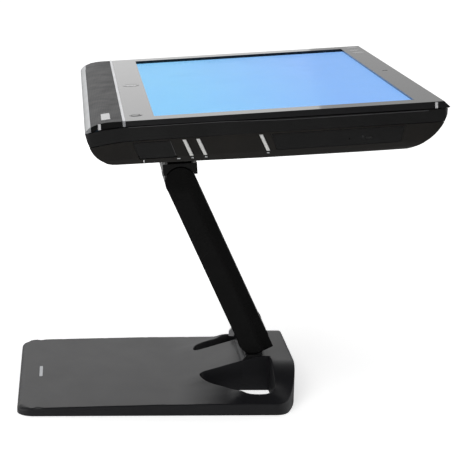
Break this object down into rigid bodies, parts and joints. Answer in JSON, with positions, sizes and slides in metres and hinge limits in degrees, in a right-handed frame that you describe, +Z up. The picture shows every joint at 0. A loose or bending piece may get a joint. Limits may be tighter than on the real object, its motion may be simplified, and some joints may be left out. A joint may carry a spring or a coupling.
{
  "type": "all-in-one touchscreen computer on an arm stand",
  "caption": "Wide touchscreen computer lying almost level on a single folding arm above a flat base with a raised hinge hump and two curved cut-outs.",
  "frame": {"origin": "on the desk, at the middle of the base, on the underside of the centre foot", "axes": "+X along the screen's width to the user's right, -Y towards the user, +Z up"},
  "size_m": [0.5636, 0.4768, 0.4056],
  "materials": {
    "base_paint": "satin",
    "plate_steel": "satin",
    "foot_rubber": "matt",
    "fastener": "zinc plated",
    "cast_black": "satin",
    "bush_bronze": "turned",
    "spring_steel": "oiled",
    "badge_metal": "satin",
    "arm_black": "gloss",
    "arm_casting": "cast",
    "disc_grey": "matt",
    "clip_grey": "satin",
    "piano_black": "high gloss",
    "screen_glass": "polished",
    "lit_screen": "lit, plain blue",
    "panel_frame": "matt",
    "sheet_steel": "galvanised",
    "speaker_grey": "fine perforated",
    "bright_trim": "polished",
    "case_black": "gloss",
    "case_brown": "satin",
    "black_plastic": "moulded",
    "lens": "polished",
    "circuit_board": "solder mask",
    "heatsink": "extruded"
  },
  "bodies": {
    "base": {"base_cover": "base_paint", "base_plate": "plate_steel", "feet": "foot_rubber", "base_screws": "fastener", "hinge_bracket": "cast_black", "bracket_bolts": "fastener", "hinge_cover": "base_paint", "lower_bushes": "bush_bronze", "lower_springs": "spring_steel", "base_badge": "badge_metal"},
    "arm": {"arm_frame": "arm_casting", "arm_cover": "arm_black", "arm_back_cover": "arm_black", "arm_screws": "black_plastic", "hinge_pins": "fastener", "hinge_nuts": "fastener", "friction_discs": "disc_grey", "cable_clip": "clip_grey"},
    "tray": {"drive_tray": "black_plastic", "drive_bezel": "case_black"},
    "spindle": {"drive_spindle": "bright_trim"},
    "sled": {"drive_sled": "black_plastic"},
    "eject_button": {"tray_button": "black_plastic"},
    "fan": {"fan_rotor": "black_plastic"},
    "volume": {"volume_key": "bright_trim"},
    "brightness": {"brightness_key": "bright_trim"},
    "eject": {"eject_key": "bright_trim"},
    "power": {"power_button": "piano_black"},
    "door": {"port_door": "case_black"},
    "display": {"head_bracket": "cast_black", "upper_bushes": "bush_bronze", "mount_plate": "cast_black", "mount_screws": "fastener", "front_bezel": "piano_black", "touch_glass": "screen_glass", "lcd_panel": "lit_screen", "backlight_unit": "panel_frame", "chassis_sheet": "sheet_steel", "speaker_bar": "speaker_grey", "speaker_boxes": "black_plastic", "trim_line": "bright_trim", "front_trim": "bright_trim", "edge_clips": "bright_trim", "mid_housing": "case_black", "rear_housing": "case_brown", "service_cover": "black_plastic", "housing_screws": "fastener", "webcam_lens": "lens", "webcam_module": "circuit_board", "emblem_plates": "bright_trim", "motherboard": "circuit_board", "cpu_heatsink": "heatsink", "fan_housing": "black_plastic", "memory_modules": "circuit_board", "hard_drive": "sheet_steel", "drive_case": "sheet_steel", "port_block": "black_plastic", "dc_inlet": "black_plastic", "side_port_block": "black_plastic"}
  },
  "joints": [
    {"name": "arm_lift", "type": "hinge", "parent": "base", "child": "arm", "pos_m": [0, 0.1225, 0.066], "axis": [1, 0, 0], "range_deg": [0, 35]},
    {"name": "head_tilt", "type": "hinge", "parent": "arm", "child": "display", "pos_m": [0, 0.02645, 0.26648], "axis": [1, 0, 0], "range_deg": [-25, 65]},
    {"name": "tray_slide", "type": "slide", "parent": "display", "child": "tray", "axis": [1, 0, 0], "range_m": [0, 0.12]},
    {"name": "spindle_spin", "type": "hinge", "parent": "tray", "child": "spindle", "pos_m": [0.214, 0.18211, 0.36663], "axis": [0, -0.0767, 0.9971], "continuous": true},
    {"name": "sled_slide", "type": "slide", "parent": "tray", "child": "sled", "axis": [-1, 0, 0], "range_m": [0, 0.018]},
    {"name": "tray_button_press", "type": "slide", "parent": "tray", "child": "eject_button", "axis": [-1, 0, 0], "range_m": [0, 0.0008], "stiffness_N_per_m": 400, "springref_m": -0.0005},
    {"name": "fan_spin", "type": "hinge", "parent": "display", "child": "fan", "pos_m": [-0.178, 0.1871, 0.36702], "axis": [0, -0.0767, 0.9971], "continuous": true},
    {"name": "volume_press", "type": "slide", "parent": "display", "child": "volume", "axis": [-1, 0, 0], "range_m": [0, 0.001], "stiffness_N_per_m": 600, "springref_m": -0.0005},
    {"name": "brightness_press", "type": "slide", "parent": "display", "child": "brightness", "axis": [-1, 0, 0], "range_m": [0, 0.001], "stiffness_N_per_m": 600, "springref_m": -0.0005},
    {"name": "eject_press", "type": "slide", "parent": "display", "child": "eject", "axis": [-1, 0, 0], "range_m": [0, 0.001], "stiffness_N_per_m": 600, "springref_m": -0.0005},
    {"name": "power_press", "type": "slide", "parent": "display", "child": "power", "axis": [0, 0.0767, -0.9971], "range_m": [0, 0.0008], "stiffness_N_per_m": 600, "springref_m": -0.0005},
    {"name": "door_swing", "type": "hinge", "parent": "display", "child": "door", "pos_m": [0.2799, -0.01646, 0.34032], "axis": [0, 0.9971, 0.0767], "range_deg": [0, 90]}
  ]
}
